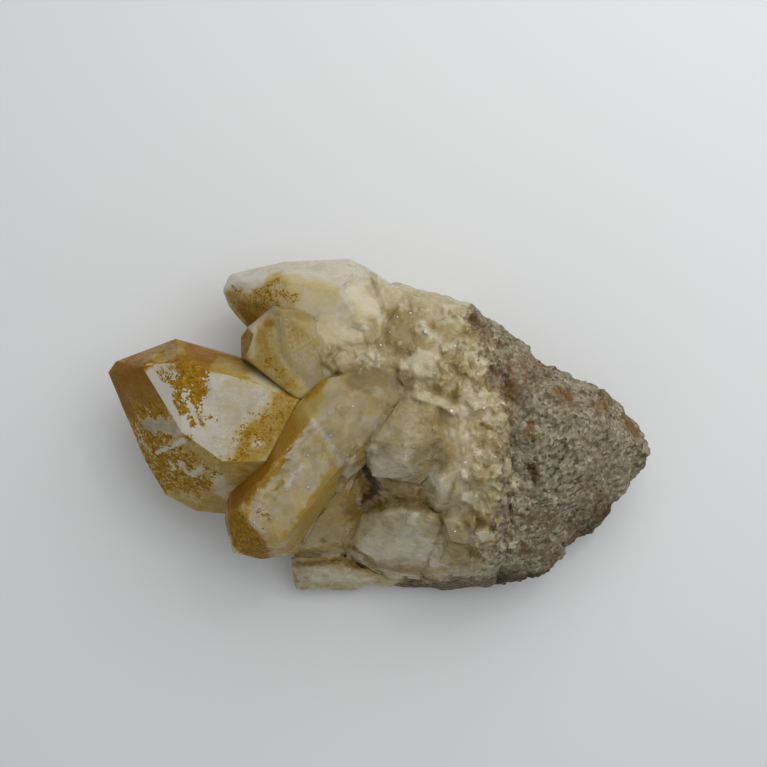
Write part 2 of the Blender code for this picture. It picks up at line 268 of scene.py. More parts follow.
        # Iron oxide in ragged flakes.
        edge = add(material, "ShaderNodeMath", {0: wisp, 1: 3.0, 2: painted["crust"]},
                   operation="MULTIPLY_ADD")
        edge = add(material, "ShaderNodeMath", {0: grain, 1: 0.9, 2: edge},
                   operation="MULTIPLY_ADD")
        cover = add(material, "ShaderNodeMapRange", {"Value": edge, "From Min": 0.47,
                                                     "From Max": 0.53})
        over = add(material, "ShaderNodeValToRGB", {"Fac": fine})
        ramp_of(over, [(0.33, "#6A480A"), (0.52, "#946C16"), (0.7, "#B28E34")])
    if rocky:
        # Grains of pale feldspar, grey quartz and dark mica, 0.6 mm across.
        grains = add(material, "ShaderNodeTexVoronoi", {"Vector": place, "Scale": 1700.0})
        grit = add(material, "ShaderNodeSeparateColor", {"Color": grains.outputs["Color"]})
        shade = -0.22
        for part, share in ((grit, 0.6), (wisps, 0.9), (cloud, 0.9)):
            shade = add(material, "ShaderNodeMath", {0: part, 1: share, 2: shade},
                        operation="MULTIPLY_ADD")
        over = add(material, "ShaderNodeValToRGB", {"Fac": shade})
        ramp_of(over, [(0.0, "#2E271B"), (0.2, "#5A5140"), (0.38, "#7C735C"), (0.6, "#8E856E"),
                       (0.82, "#A89F8A"), (1.0, "#CFC8B8")])
        patch = add(material, "ShaderNodeMapRange", {"Value": clouds, "From Min": 0.42,
                                                     "From Max": 0.68, "To Max": 0.45})
        over = add(material, "ShaderNodeMix", {"Factor": patch, 6: over,
                                               7: linear("#6B5A38")}, data_type="RGBA")
        # Ragged dark patches where tint is high: dark brown spots in the rock, and painted shade
        # in the crevice, on the low ledge and along the underside; then rust over them.
        for layer, ragged, none, full, most, code in (
                ("tint", 2.2, 0.3, 1.0, 0.9, "#402A0C"),
                ("rust", 2.8, 0.35, 0.95, 0.85, "#694618")):
            edge = add(material, "ShaderNodeMath", {0: wisp, 1: ragged, 2: painted[layer]},
                       operation="MULTIPLY_ADD")
            edge = add(material, "ShaderNodeMapRange", {"Value": edge, "From Min": none,
                                                        "From Max": full, "To Max": most})
            over = add(material, "ShaderNodeMix", {"Factor": edge, 6: over,
                                                   7: linear(code)}, data_type="RGBA")
        edge = add(material, "ShaderNodeMath", {0: wisp, 1: 2.4, 2: painted["rock"]},
                   operation="MULTIPLY_ADD")
        cover = add(material, "ShaderNodeMapRange", {"Value": edge, "From Min": 0.4,
                                                     "From Max": 0.6})
        fine = add(material, "ShaderNodeMath", {0: grit, 1: fine}, operation="ADD")
    if cover:
        colour = add(material, "ShaderNodeMix", {"Factor": cover, 6: colour, 7: over},
                     data_type="RGBA")
        rough = add(material, "ShaderNodeMapRange", {"Value": cover, "To Min": 0.12,
                                                     "To Max": 0.8})
        bare = add(material, "ShaderNodeMath", {0: 1.0, 1: cover}, operation="SUBTRACT")
        sheer = add(material, "ShaderNodeMath", {0: sheer, 1: bare}, operation="MULTIPLY")
        glow = add(material, "ShaderNodeMath", {0: glow, 1: bare}, operation="MULTIPLY")
        skin = add(material, "ShaderNodeMath", {0: fine, 1: cover, 2: skin},
                   operation="MULTIPLY_ADD")
    bump = add(material, "ShaderNodeBump", {"Height": skin, "Strength": 0.4,
                                            "Distance": 0.2 * MM, "Normal": normal})
    shader = add(material, "ShaderNodeBsdfPrincipled", {
        "Base Color": colour, "Roughness": rough, "IOR": 1.544, "Transmission Weight": sheer,
        "Specular IOR Level": gloss, "Subsurface Weight": glow, "Subsurface Scale": 4 * MM,
        "Normal": bump})
    shader.inputs["Subsurface Radius"].default_value = (1.0, 0.85, 0.6)
    add(material, "ShaderNodeOutputMaterial", {"Surface": shader.outputs["BSDF"]})
    return material


# Milky quartz is cream where it is clear, and browner the more dirt and iron are in it; its
# browner end is also painted into the pits and pockets of the base as shade.
MILKY = [(0.0, "#DCD1B6"), (0.15, "#C9BC98"), (0.3, "#B5A57C"), (0.45, "#A08C5C"),
         (0.65, "#836C3A"), (0.82, "#5F4A22"), (1.0, "#2C200C")]

# Where the rock and the rim of the base are rusty.
RUST = [
    ((25.5, 1.8), (25.8, 0.8), 0.8, 0.9), ((23, 0), (27, -0.4), 0.8, 0.6),
    ((31, 7.4), (33, 5.8), 1.2, 0.8), ((24.4, -14), (24.8, -14.4), 0.7, 1.1),
    ((27, -14.6), (30, -16), 1.6, 0.6), ((38, 4.8), (41, 6.4), 1.6, 0.6),
    ((44, 2.6), (46, 0), 1.2, 0.9), ((30, -22), (32, -24), 1.6, 0.6),
    ((36, -9), (40, -12), 2.0, 0.55), ((25, -20), (25.6, -21.4), 0.7, 0.9),
    ((17, 18), (20, 15), 2.0, 0.6), ((20, 12), (28, 11), 2.6, 0.55),
    ((22, 4), (20, 7), 1.4, 0.5), ((35, -16), (39, -14), 2.0, 0.5),
    ((18.6, 16), (22, 8), 1.8, 0.5), ((22.4, 4), (22.8, -4), 0.9, 0.5),
    ((23, -10), (22.8, -18), 0.9, 0.45)]

rock = copy_node("host_rock", "rock")
work(rock, "REMESH", mode="VOXEL", voxel_size=0.32 * MM)
work(rock, "SMOOTH", factor=0.5, iterations=3)
work(rock, "DISPLACE", strength=0.35 * MM, mid_level=0.0)
work(rock, "DISPLACE", texture=bumps("CLOUDS", 3.5 * MM, noise_depth=3), strength=1.7 * MM,
     mid_level=0.5, texture_coords="LOCAL")
work(rock, "DISPLACE", texture=bumps("CLOUDS", 1.3 * MM, noise_depth=2), strength=1.1 * MM,
     mid_level=0.5, texture_coords="LOCAL")
paint(rock, "rock", 1.0, strokes=[((20, 12), (22.4, -22), 2.6, 0.56)])
paint(rock, "rust", 0.12, strokes=RUST)
paint(rock, "tint", 0.16, strokes=[
    ((25.8, -5.6), (26.6, -7.4), 0.8, 0.9), ((18, 17), (24, 8), 2.6, 0.45),
    ((26, 9), (32, 6), 2.0, 0.36), ((21.6, 8.6), (24, 6.4), 1.8, 0.65),
    # The dark strokes along the underside from (18, -28.6) to (31, -28) and on the low ledge from
    # (36, -21) to (45, -14) are painted shade.
    ((35, -18), (40.5, -13), 1.6, 0.3), ((18, -28.6), (31, -28), 2.4, 0.9),
    ((36, -21), (45, -14), 1.8, 0.8), ((25, 11), (26.6, 10), 0.8, 0.7)])
# Broken rock is matt and speckled, because each grain breaks at its own angle.
rock.data.materials.append(quartz("broken_granular_rock", MILKY, 0.0, 0.0, rocky=True))
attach(rock, "root")
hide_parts("host_rock")

# The left point, the largest crystal: six-sided quartz, cloudy inside, stained golden by iron
# and spotted with ochre iron oxide.  It is the convex skin of its solid with its edges worn
# and its faces swelling faintly, painted facet by facet.


def refine(piece, longest):
    """Splits long edges until none is longer than the given length."""
    only(piece)
    most_rounds = 9
    for _ in range(most_rounds):
        bpy.ops.object.mode_set(mode="EDIT")
        bpy.ops.mesh.select_all(action="SELECT")
        bpy.ops.mesh.quads_convert_to_tris(quad_method="BEAUTY", ngon_method="BEAUTY")
        bpy.ops.mesh.select_all(action="DESELECT")
        # Leaving edit mode here settles the order of the faces, so each run cuts them alike.
        bpy.ops.object.mode_set(mode="OBJECT")
        bpy.ops.object.mode_set(mode="EDIT")
        mesh = bmesh.from_edit_mesh(piece.data)
        long_edges = [edge for edge in mesh.edges if edge.calc_length() > longest]
        for edge in long_edges:
            edge.select_set(True)
        bmesh.update_edit_mesh(piece.data)
        if long_edges:
            bpy.ops.mesh.subdivide(number_cuts=1)
        bpy.ops.object.mode_set(mode="OBJECT")
        if not long_edges:
            break


def grow_along(piece, azimuth):
    """Stores places turned so that X runs the way the crystal grew, and shrunk that way, so
    that a pattern read from them comes out in long streaks."""
    shrink = 0.1
    mesh = piece.data
    turn = math.radians(azimuth)
    places = np.empty(len(mesh.vertices) * 3)
    mesh.vertices.foreach_get("co", places)
    x, y, z = places.reshape(-1, 3).T
    along = (x * math.cos(turn) + y * math.sin(turn)) * shrink
    across = y * math.cos(turn) - x * math.sin(turn)
    attribute = mesh.attributes.new("grow", "FLOAT_VECTOR", "POINT")
    attribute.data.foreach_set("vector", np.stack((along, across, z), axis=1).ravel())


def crystal(node, name, azimuth, whole=True, edge=0.35, longest=0.5, tip=None):
    """A crystal that grew towards the given azimuth, made from its solid: its convex skin if
    it is whole, with worn edges, and no mesh edge longer than longest.  A tip is one more
    point that the skin takes in.  Sizes are in mm."""
    piece = copy_node(node, name)
    if tip:
        piece.data.vertices.add(1)
        piece.data.vertices[-1].co = Vector(tip) * MM
    if whole:
        bpy.ops.object.mode_set(mode="EDIT")
        bpy.ops.mesh.select_all(action="SELECT")
        bpy.ops.mesh.convex_hull()
        bpy.ops.mesh.dissolve_limited(angle_limit=math.radians(3))
        bpy.ops.object.mode_set(mode="OBJECT")
    work(piece, "BEVEL", width=edge * MM, segments=2, limit_method="ANGLE",
         angle_limit=math.radians(8))
    refine(piece, longest * MM)
    grow_along(piece, azimuth)
    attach(piece, "root")
    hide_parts(node)
    return piece


def finish_skin(piece, material, height=0.12, size=3.0, angle=35):
    """Lets the faces swell by so many mm in bumps of the given size, shades the skin smooth
    where it bends less than the angle, and gives it its material."""
    work(piece, "DISPLACE", texture=bumps("CLOUDS", size * MM, noise_depth=2),
         strength=height * MM, mid_level=0.5, texture_coords="LOCAL")
    only(piece)
    bpy.ops.object.shade_smooth_by_angle(angle=math.radians(angle))
    piece.data.materials.append(material)


# Quartz as grown, stained by iron: white where clear, gold and then brown where stained, and
# much duller than clean quartz, so its specular level is low.
stained = quartz("iron_stained_quartz", [
    (0.0, "#EFE8D8"), (0.13, "#E0D3B2"), (0.25, "#CDBA86"), (0.36, "#BAA15C"),
    (0.5, "#A48436"), (0.7, "#8F671A"), (0.85, "#845808"), (1.0, "#784802")], 0.4, 0.03,
    crusted=True, gloss=0.08)

# Three of its facets, by the way they face.  The triangle facet is painted whiter than clear
# quartz, a painted highlight standing for the window's sheen on it.
LEFT_SIDE, LEFT_TRIANGLE, LEFT_TOP = (-156, 48), (-175, 25), (-141, 5)
left = crystal("left_point", "left_crystal", 172, edge=0.5)
paint(left, "tint", 0.5, facets=[
    (*LEFT_SIDE, 0.35), (-138, 49, 0.3), (*LEFT_TRIANGLE, -0.1), (*LEFT_TOP, 0.02),
    (-96, 52, 0.46), (-115, 50, 0.44), (-126, 47, 0.4), (-74, 60, 0.5), (120, 61, 0.66),
    (114, 53, 0.7), (78, 59, 0.6), (72, 66, 0.6), (153, 50, 0.95)], strokes=[
    ((-48, 8.6), (-45.4, 3.4), 1.4, 0.85), ((-48, 11), (-41, 9), 2.6, 0.85, LEFT_SIDE),
    ((-45, 7.5), (-38.5, 6), 2.0, 0.76, LEFT_SIDE),
    ((-42, 1.6), (-36.5, 0.8), 1.3, 0.16, LEFT_SIDE), ((-40, -3.8), (-34.2, -1.2), 0.5, 0.05),
    ((-35.8, -5.6), (-34.8, -6.2), 0.7, 0.1), ((-34, -7.4), (-31.6, -6.6), 0.7, 0.1),
    ((-37.6, -5.6), (-37, -6.4), 0.5, 0.1), ((-31, -8.4), (-27.6, -11), 1.6, 0.36),
    # The pale stroke from (-22.4, 10.8) to (-18, 8.4) is painted light, lifting the right rim out
    # of the middle point's shadow.
    ((-22.4, 10.8), (-18, 8.4), 1.5, 0.14), ((-47.5, 11), (-41, 12.5), 1.3, 0.85),
    ((-43, 13.5), (-39, 15), 0.8, 0.65), ((-37, 14.4), (-35.6, 13.6), 1.1, 0.3),
    ((-38, 12.8), (-28, 12.4), 1.3, 0.8), ((-42, 14), (-36.6, 16.4), 0.7, 0.62),
    ((-34, 15), (-26, 12.6), 0.9, 0.82), ((-41, 12.1), (-34.4, 11.9), 0.15, 0.1),
    ((-41, 13.2), (-37, 13.4), 0.6, 0.5), ((-28, 12), (-23, 11.2), 1.2, 0.4),
    ((-26, 9), (-19, 9.5), 1.0, 0.24, LEFT_TOP), ((-25, 6), (-24, 0), 3.0, 0.1, LEFT_TOP),
    ((-16, 8), (-16.5, 3), 2.8, 0.46, LEFT_TOP), ((-18, 2), (-21.5, -1.5), 2.6, 0.48, LEFT_TOP),
    ((-21, 0), (-23.5, -4), 2.4, 0.5, LEFT_TOP),
    ((-23, -5.5), (-32, -6.5), 1.5, 0.45, LEFT_TOP),
    ((-21.5, -1.3), (-21, -1.5), 0.8, 0.1, LEFT_TOP), ((-28.8, -8.4), (-27.5, -10), 1.5, 0.2),
    ((-28.5, -11), (-27, -12), 1.0, 0.25)])
paint(left, "smoke", 0.0, strokes=[
    ((-37, 14.4), (-35.6, 13.6), 1.3, 0.9), ((-42, 1.4), (-36.5, 0.8), 1.2, 0.5),
    ((-28, 12), (-24.6, 11.6), 1.2, 0.5), ((-42, 14.4), (-36, 16.4), 1.4, 1.0),
    ((-36, 16), (-24, 12), 1.4, 0.4), ((-16, 8), (-20, 0), 3.0, -0.5),
    ((-20, 0), (-32, -6), 2.4, -0.5)])
paint(left, "crust", -0.5, facets=[
    (*LEFT_SIDE, -0.1), (*LEFT_TOP, -0.55), (-138, 49, -0.1), (-126, 47, 0.0), (-115, 50, 0.0)],
    strokes=[
    ((-43.7, 4.3), (-42, 3.2), 1.1, 0.9), ((-42, 4), (-37.8, 3.4), 1.4, 0.95),
    ((-44.8, 1.6), (-43.4, -2), 0.9, 0.9), ((-43, -3.4), (-42, -5.4), 0.8, 0.8),
    ((-41.8, -5.4), (-39.6, -10), 1.2, 0.85), ((-44, 1.6), (-42.8, 0.5), 0.8, 0.8),
    ((-42, -0.4), (-39.5, -1.4), 1.7, 0.85), ((-41.4, -2), (-40.4, -3.2), 1.1, 0.9),
    ((-38, -0.5), (-37, -0.7), 0.8, 0.7), ((-39, 10.2), (-37, 10), 1.2, 0.62, LEFT_TRIANGLE),
    ((-39.5, 8.6), (-38.5, 8.4), 0.6, 0.5, LEFT_TRIANGLE),
    ((-34, 11.3), (-31.7, 10.4), 1.9, 1.1), ((-34.2, 9), (-31.5, 7.6), 2.0, 1.0),
    ((-35.6, 7), (-35.4, 5.4), 0.9, 0.8), ((-33.4, 5.4), (-31.4, 5.2), 1.2, 0.8),
    ((-35, 4.7), (-33.8, 3.8), 1.0, 0.9), ((-32.4, 4), (-31.2, 1.7), 0.8, 0.9),
    ((-33.2, 2.3), (-32.6, 1.4), 0.7, 0.9), ((-30.2, 2.7), (-29, 2.6), 0.6, 0.55),
    ((-34.5, -0.4), (-33, -0.6), 0.5, 0.6), ((-37.5, -2.6), (-35.4, -2.8), 0.6, 1),
    ((-40.2, -5.5), (-36, -5), 1.0, 0.85), ((-35.6, -4.6), (-33.6, -4), 0.8, 0.8),
    ((-39.8, -7), (-37, -6.8), 0.8, 0.75), ((-38.2, -9), (-34.4, -8.6), 1.4, 0.75),
    ((-33, -7.6), (-31, -6), 1.0, 0.6), ((-36, -10.6), (-32, -10), 1.0, 0.6),
    ((-38.6, -4.6), (-34, -5.6), 1.2, 0.95), ((-37.6, -7), (-33, -8), 1.1, 0.85),
    ((-36, -9.4), (-31.5, -9.6), 1.2, 0.75), ((-31, -6), (-29, -7.4), 1.2, 0.35),
    ((-35.8, -5.6), (-34.8, -6.2), 0.6, 0.1), ((-34, -7.4), (-31.6, -6.6), 0.6, 0.0),
    ((-37.6, -5.6), (-37, -6.4), 0.4, 0.0), ((-22, 2), (-21.4, -1), 2.4, 0.36, LEFT_TOP),
    ((-17, 6), (-20, 1), 2.2, 0.25, LEFT_TOP), ((-24, -4.6), (-32, -6), 1.2, 0.35, LEFT_TOP),
    ((-24.5, -1), (-23.5, -3), 1.2, 0.45, LEFT_TOP), ((-33.2, 5.6), (-31.3, 0.8), 0.3, -0.6),
    ((-40.4, 10), (-38, 6.4), 1.0, -0.5), ((-38, 6.4), (-35.2, 2.6), 0.8, -0.5),
    ((-35.2, 2.6), (-33, 0.3), 0.5, -0.5), ((-41.6, 1.4), (-37, 0.8), 1.0, -0.3),
    ((-40, -3.6), (-34.2, -1.2), 0.3, -0.2)])
paint(left, "mottle", 0.5, facets=[
    (*LEFT_TOP, 0.3), (*LEFT_TRIANGLE, 0.3), (120, 61, 0.8), (114, 53, 0.8)], strokes=[
    ((-16, 8), (-20, 0), 3.4, 0.5, LEFT_TOP), ((-20, 0), (-32, -6), 2.6, 0.5, LEFT_TOP)])
finish_skin(left, stained)

# The upper point: a quartz crystal that lies along the far side, clear and pale, with gold
# in its tip and its root shattered.  It is made as the left point is.
upper = crystal("upper_point", "upper_crystal", 5)
paint(upper, "tint", 0.05, strokes=[
    ((-14, 20), (-6, 19), 2.4, 0.08), ((-3, 27), (1, 22), 3.4, 0.0),
    ((-10, 23.6), (-14, 24.4), 2.6, 0.14), ((-18, 26.6), (-9, 24.2), 1.8, 0.24),
    ((-16, 23.5), (-11, 23), 2.2, 0.18), ((-24, 23.4), (-18.5, 26.2), 2.0, 0.4),
    ((-24, 22.4), (-19, 22.8), 1.6, 0.4), ((-27, 25), (-25, 22.4), 1.3, 0.4),
    ((-18, 25.4), (-15.4, 23.6), 1.6, 0.3), ((-25, 21.6), (-22.6, 19.8), 1.4, 0.66),
    ((-27.2, 27), (-25.2, 28), 1.2, -0.1), ((-23.6, 26.2), (-21.4, 27.2), 1.1, 0.0)])
paint(upper, "smoke", 0.0, strokes=[
    ((-26, 24), (-19, 25), 2.6, -0.7), ((-18, 26), (-9, 24), 2.0, -0.6),
    ((-16, 23), (-11, 22.6), 2.0, -0.5)])
paint(upper, "crust", -1.0, strokes=[
    ((-26.6, 25.6), (-25, 22.4), 1.2, 0.4), ((-24, 23.4), (-18.6, 26), 1.9, 0.36),
    ((-24.6, 22.2), (-19, 22.6), 1.5, 0.38), ((-18, 25.2), (-15.4, 23.4), 1.6, 0.25),
    ((-23.6, 26.4), (-21.4, 27.4), 0.9, -1.0)])
paint(upper, "mottle", 0.2, strokes=[((-25, 24), (-19, 25), 2.4, 0.6)])
paint(upper, "shatter", 0.0, strokes=[((-5, 18), (2, 26), 4.5, 0.35)])
finish_skin(upper, stained)

# The middle point: a short, stout quartz crystal in front of the left and upper points,
# faintly smoky, with gold down its left edge.  It is made as they are, with one more point
# where its near corner meets its neighbours.
middle = crystal("middle_point", "middle_crystal", 100,
                 tip=(-14.15, 5.9, 29.9))
paint(middle, "tint", 0.29, facets=[(168, 69, 0.85), (-178, 77, 0.85)], strokes=[
    ((-20.4, 17.4), (-19.8, 13.6), 1.3, 0.44), ((-19.8, 13.6), (-15.4, 7.6), 1.4, 0.47),
    ((-22.6, 12.8), (-17, 8.8), 0.9, 0.42), ((-19.5, 19.4), (-18.8, 19), 0.8, 0.65),
    ((-14.3, 17.4), (-13.4, 20), 1.0, 0.4), ((-18.6, 21.8), (-13.6, 20.9), 1.0, 0.42),
    ((-22.4, 13.4), (-21.6, 19.4), 0.35, 0.15), ((-12, 9), (-14, 13), 1.4, 0.18),
    ((-15, 7.4), (-14.4, 6.4), 0.8, 0.36)])
paint(middle, "smoke", 0.25, strokes=[
    ((-15, 19), (-12, 8), 3.6, 0.4), ((-20.4, 17.4), (-19.8, 13.6), 1.6, -0.6),
    ((-19.8, 13.6), (-15.4, 7.6), 1.8, -0.6), ((-19, 22), (-12, 20.8), 1.3, 0.8)])
paint(middle, "crust", -1.0, facets=[(168, 69, 0.8), (-178, 77, 0.8)], strokes=[
    ((-20.6, 13.4), (-16.4, 9), 1.5, 0.22), ((-20.4, 17), (-20.4, 14), 1.0, 0.15)])
paint(middle, "mottle", 0.12, strokes=[
    ((-20.4, 17.4), (-19.8, 13.6), 1.6, 0.35), ((-19.8, 13.6), (-15.4, 7.6), 1.8, 0.4)])
paint(middle, "shatter", 0.0, strokes=[((-10, 14), (-6, 12), 2.6, 0.6)])
finish_skin(middle, stained)

# The broken point: a long quartz crystal that lies across the cluster, its front snapped off
# on a slant and its root a smoky round hump.  It is remeshed, so that the fold between them
# closes, then smoothed at the root and roughened lengthwise on the break.


def block(outline, top, slope=(0.0, 0.0), deep=4.0):
    """A low crystal: its outline seen from above, the height of its top and its depth, in mm,
    its edge bevelled, and its top sloping by so much along x and y."""
    mean = np.mean(outline, axis=0)
    spots = []
    for spread, drop in ((0.7, 0.0), (1.0, 0.7), (1.25, deep)):
        for corner in outline:
            out = (np.array(corner) - mean) * spread
            spots.append((*(mean + out) * MM, (top - drop + out @ np.array(slope)) * MM))
    count = len(outline)
    faces = [range(count), range(3 * count - 1, 2 * count - 1, -1)]
    for ring in (0, count):
        for i in range(count):
            after = (i + 1) % count
            faces.append((ring + i, ring + count + i, ring + count + after, ring + after))
    mesh = bpy.data.meshes.new("block")
    mesh.from_pydata(spots, [], faces)
    stub = bpy.data.objects.new("block", mesh)
    bpy.context.scene.collection.objects.link(stub)
    return stub


def join_to(piece, parts):
    """Joins closed parts to a piece, with every face outward."""
    only(piece)
    for part in parts:
        part.select_set(True)
    bpy.ops.object.join()
    bpy.ops.object.mode_set(mode="EDIT")
    bpy.ops.mesh.select_all(action="SELECT")
    bpy.ops.mesh.normals_make_consistent(inside=False)
    bpy.ops.object.mode_set(mode="OBJECT")


# Where the light that glints and the eye that sees it are, in metres.
BRIGHT_WINDOW = Vector((0.12, 0.18, 0.30))
EYE = Vector((0.49, 8.75, 260)) * MM


def add_flashes(piece, spots):
    """Adds fresh little faces (x, y, size in mm), each turned so that the bright window
    flashes in it for an eye straight above, and returns strokes that keep them even."""
    parts = []
    for x, y, size in spots:
        found, spot, *_ = piece.ray_cast(Vector((x, y, 100)) * MM, Vector((0, 0, -1)))
        half = (BRIGHT_WINDOW - spot).normalized() + (EYE - spot).normalized()
        outline = [(x - size * 0.5, y - size * 0.2), (x + size * 0.1, y - size * 0.4),
                   (x + size * 0.5, y + size * 0.1), (x - size * 0.1, y + size * 0.4)]
        if found:
            parts.append(block(outline, spot.z / MM + size * 0.2,
                               (-half.x / half.z, -half.y / half.z), 1.0))
    join_to(piece, parts)
    return [((x, y), (x, y), size * 1.3, 0.0) for x, y, size in spots]


GROWN, SNAPPED = 47, (-126, 21)
broken = crystal("broken_point", "broken_crystal", GROWN, whole=False,
                 longest=3.0)
work(broken, "REMESH", mode="VOXEL", voxel_size=0.3 * MM)
root = broken.vertex_groups.new(name="root")
snapped = broken.vertex_groups.new(name="snapped")
seen = seen_from_above(broken)
# The hump and the fold are to be smoothed, and the top of the break roughened.  The weights
# are rounded, because Decimate would make much of a last digit that differs between runs.
for vertex, hump, fold, rough in zip(
        broken.data.vertices, nearness(*seen, (-5, 6), (2, 4), 6.0),
        np.maximum(nearness(*seen, (-11.3, 2.4), (-6.4, -4.8), 0.5),
                   nearness(*seen, (-6.4, -4.8), (-6.3, -7.4), 0.6)),
        nearness(*seen, (-22, -12), (-10, 0), 3.0)):
    root.add([vertex.index], round(max(hump, fold), 3), "REPLACE")
    snapped.add([vertex.index], round(rough, 3) * (vertex.normal.z > 0.8), "REPLACE")
work(broken, "SMOOTH", factor=0.5, iterations=40, vertex_group="root")
stretch = bpy.data.objects.new("stretch", None)
stretch.rotation_euler = (0.0, 0.0, math.radians(GROWN))
stretch.scale = (7.0, 1.0, 1.0)
bpy.context.scene.collection.objects.link(stretch)
bpy.context.view_layer.update()
work(broken, "DISPLACE", texture=bumps("CLOUDS", 1.6 * MM, noise_depth=2), strength=1.6 * MM,
     mid_level=0.45, texture_coords="OBJECT", texture_coords_object=stretch,
     vertex_group="snapped")
bpy.data.objects.remove(stretch)
work(broken, "DECIMATE", ratio=0.16)
refine(broken, 0.5 * MM)
grow_along(broken, GROWN)
plain = add_flashes(broken, [
    (-11.2, 2.3, 0.5), (-8.4, 0, 0.6), (-13, 0.6, 0.4), (-14.6, -6.4, 0.5), (-16.2, -9.5, 0.5),
    (-0.1, 5, 0.5), (-4.6, 5, 0.5), (-5.4, 7.4, 0.5), (-12.3, -3.4, 0.6), (-8.7, 3.8, 0.6),
    (-12.4, -9, 0.5), (-22, -15.4, 0.6)])
paint(broken, "tint", 0.2, facets=[(*SNAPPED, 0.21), (-44, 71, 0.5), (-30, 87, 0.5)], strokes=[
    ((-26.5, -12), (-23.5, -9), 1.9, 0.9), ((-22.5, -8), (-18, -3.6), 1.9, 0.76),
    ((-17, -2), (-14, 3), 2.0, 0.6), ((-13.6, 4), (-11, 6.6), 1.8, 0.42),
    ((-12.6, 6.8), (-9.4, 9.6), 0.8, 0.66), ((-9.4, 9.8), (-6.4, 10.9), 0.6, 0.64),
    # The pale strokes from (-7.4, 5.6) to (-5, 5) and from (-3.4, 2.4) to (-1, 1.6) give the root
    # its pale quartz and are painted lighter still against the shade of the fold beside the
    # central crystal.
    ((-1, -5), (5, 4), 2.2, 0.28), ((-7.4, 5.6), (-5, 5), 2.2, 0.2),
    ((-1, 5), (1.4, 3.4), 1.6, 0.3), ((-3.4, 2.4), (-1, 1.6), 1.2, 0.12),
    ((-4, 9.8), (4, 9.2), 1.9, 0.34), ((-9, -2), (-8.4, -5), 1.2, 0.3, SNAPPED),
    ((-21, -9), (-11, 1.5), 1.0, 0.15, SNAPPED), ((-25.6, -16), (-22.6, -20.4), 2.6, 0.78),
    ((-27.4, -17), (-20.5, -22.6), 1.8, 0.78), ((-20.6, -9), (-17, -3.6), 0.5, 0.55),
    # The thinnest pale strokes here, 0.25 to 0.45 mm wide with a tint of 0.1 or less, are painted
    # glints and bright edges along the break and its ridges.
    ((-7.1, -4.6), (-11.7, -9.7), 0.3, 0.03), ((-11.7, -9.7), (-14.4, -14.5), 0.3, 0.05),
    ((-14.4, -14.5), (-17.4, -19.6), 0.3, 0.08), ((-18, -21), (-16.6, -21.2), 1.0, 0.6),
    ((-7.5, -6), (-16.6, -19), 1.1, 0.48), ((-19, -16), (-18, -19), 1.4, 0.32),
    ((-22.6, -15), (-20.6, -17), 0.5, 0.1), ((-13, 0.4), (-11.6, 1.8), 0.3, 0.08),
    ((-11.4, 2.4), (-10.6, 2), 0.3, 0.08), ((-8.9, 1.6), (-8.3, -0.8), 0.4, 0.08),
    ((-9.4, 3), (-8.2, 4.6), 0.4, 0.1), ((-11.3, 2.4), (-8.6, -1), 0.45, 0.02),
    ((-8.6, -1), (-6.6, -5), 0.4, 0.05), ((-12, 0.6), (-8.4, -2.8), 0.25, 0.24),
    ((-14.4, -4.4), (-11.6, -7.4), 0.25, 0.04), ((-14, -4.9), (-11.2, -7.9), 0.25, 0.26),
    ((-16.4, -3.8), (-12.4, 0.4), 0.25, 0.05), ((-18.6, -11), (-14.4, -15), 0.25, 0.25),
    ((-20.4, -11.6), (-17, -8), 0.3, 0.3), ((-16.4, -9), (-13.6, -5.4), 0.35, 0.0),
    ((-13.4, -3.2), (-10.4, -1), 0.3, 0.27), ((-18.6, -9.8), (-16.8, -8.2), 0.3, 0.5)])
paint(broken, "crust", -1.0, strokes=[
    ((-22.4, -13.6), (-19, -14.6), 1.2, 0.35), ((-26, -15.6), (-23, -20.6), 2.6, 0.95),
    ((-22.5, -18), (-21, -21), 1.2, 0.85), ((-26, -20), (-21, -23), 1.6, 0.8),
    ((-22.4, -15.2), (-20.6, -17), 0.6, 0.0)])
paint(broken, "smoke", 0.0, strokes=[
    ((-7, 3), (3, 4), 4.6, 0.45), ((-4, 9.8), (4, 9), 2.0, 0.95), ((-6, -4), (-4, -7), 2.2, 0.5)])
paint(broken, "mottle", 0.2, strokes=[((-5, 6), (2, 4), 5.0, 0.15), *plain])
paint(broken, "shatter", 0.38, strokes=[
    ((-25, -11), (-12, 4), 2.6, 0.0), ((-6, -8), (-16, -19), 1.2, 0.0), *plain])
finish_skin(broken, stained, angle=18)

# The golden point and the corner splinter: two small quartz crystals that iron has coloured
# through, one tucked under the broken point and one at the near corner.  They are made as
# the larger points are.  Their quartz is honey-coloured and stays clear where it is dark.
golden = quartz("golden_quartz", [(0.0, "#D8C68C"), (0.4, "#AE8E3E"), (1.0, "#6E4C10")],
                0.4, 0.3)
gold = crystal("golden_point", "gold_crystal", 55)
paint(gold, "tint", 0.28, strokes=[
    # The pale stroke from (-13, -20) to (-9, -23) is painted light, lifting a corner that lies in
    # shadow.
    ((-13, -20), (-9, -23), 1.5, 0.1), ((-5.4, -11), (-5, -15), 1.4, 0.6),
    ((-8, -18), (-6.5, -20), 1.2, 0.15), ((-12, -17), (-9, -19), 1.5, 0.25),
    ((-13, -15), (-7, -9.6), 0.8, 0.2), ((-4, -8), (-2.6, -11), 0.8, 0.6)])
paint(gold, "smoke", -0.3)
paint(gold, "shatter", 0.4)
paint(gold, "mottle", 0.3)
finish_skin(gold, golden)
splinter = crystal("corner_crystal", "corner_splinter", 10)
paint(splinter, "tint", 0.35, strokes=[
    ((-9, -21.6), (-7, -21.2), 0.7, -0.1), ((-16, -25.4), (-7.7, -24), 0.6, 0.9),
    ((-7.7, -24), (0, -27.2), 0.6, 0.9), ((-13, -27.4), (-3, -28), 1.4, 0.0),
    ((-16, -23.4), (-12, -22.4), 1.0, 0.05)])
paint(splinter, "shatter", 0.4)
paint(splinter, "mottle", 0.4)
finish_skin(splinter, golden)

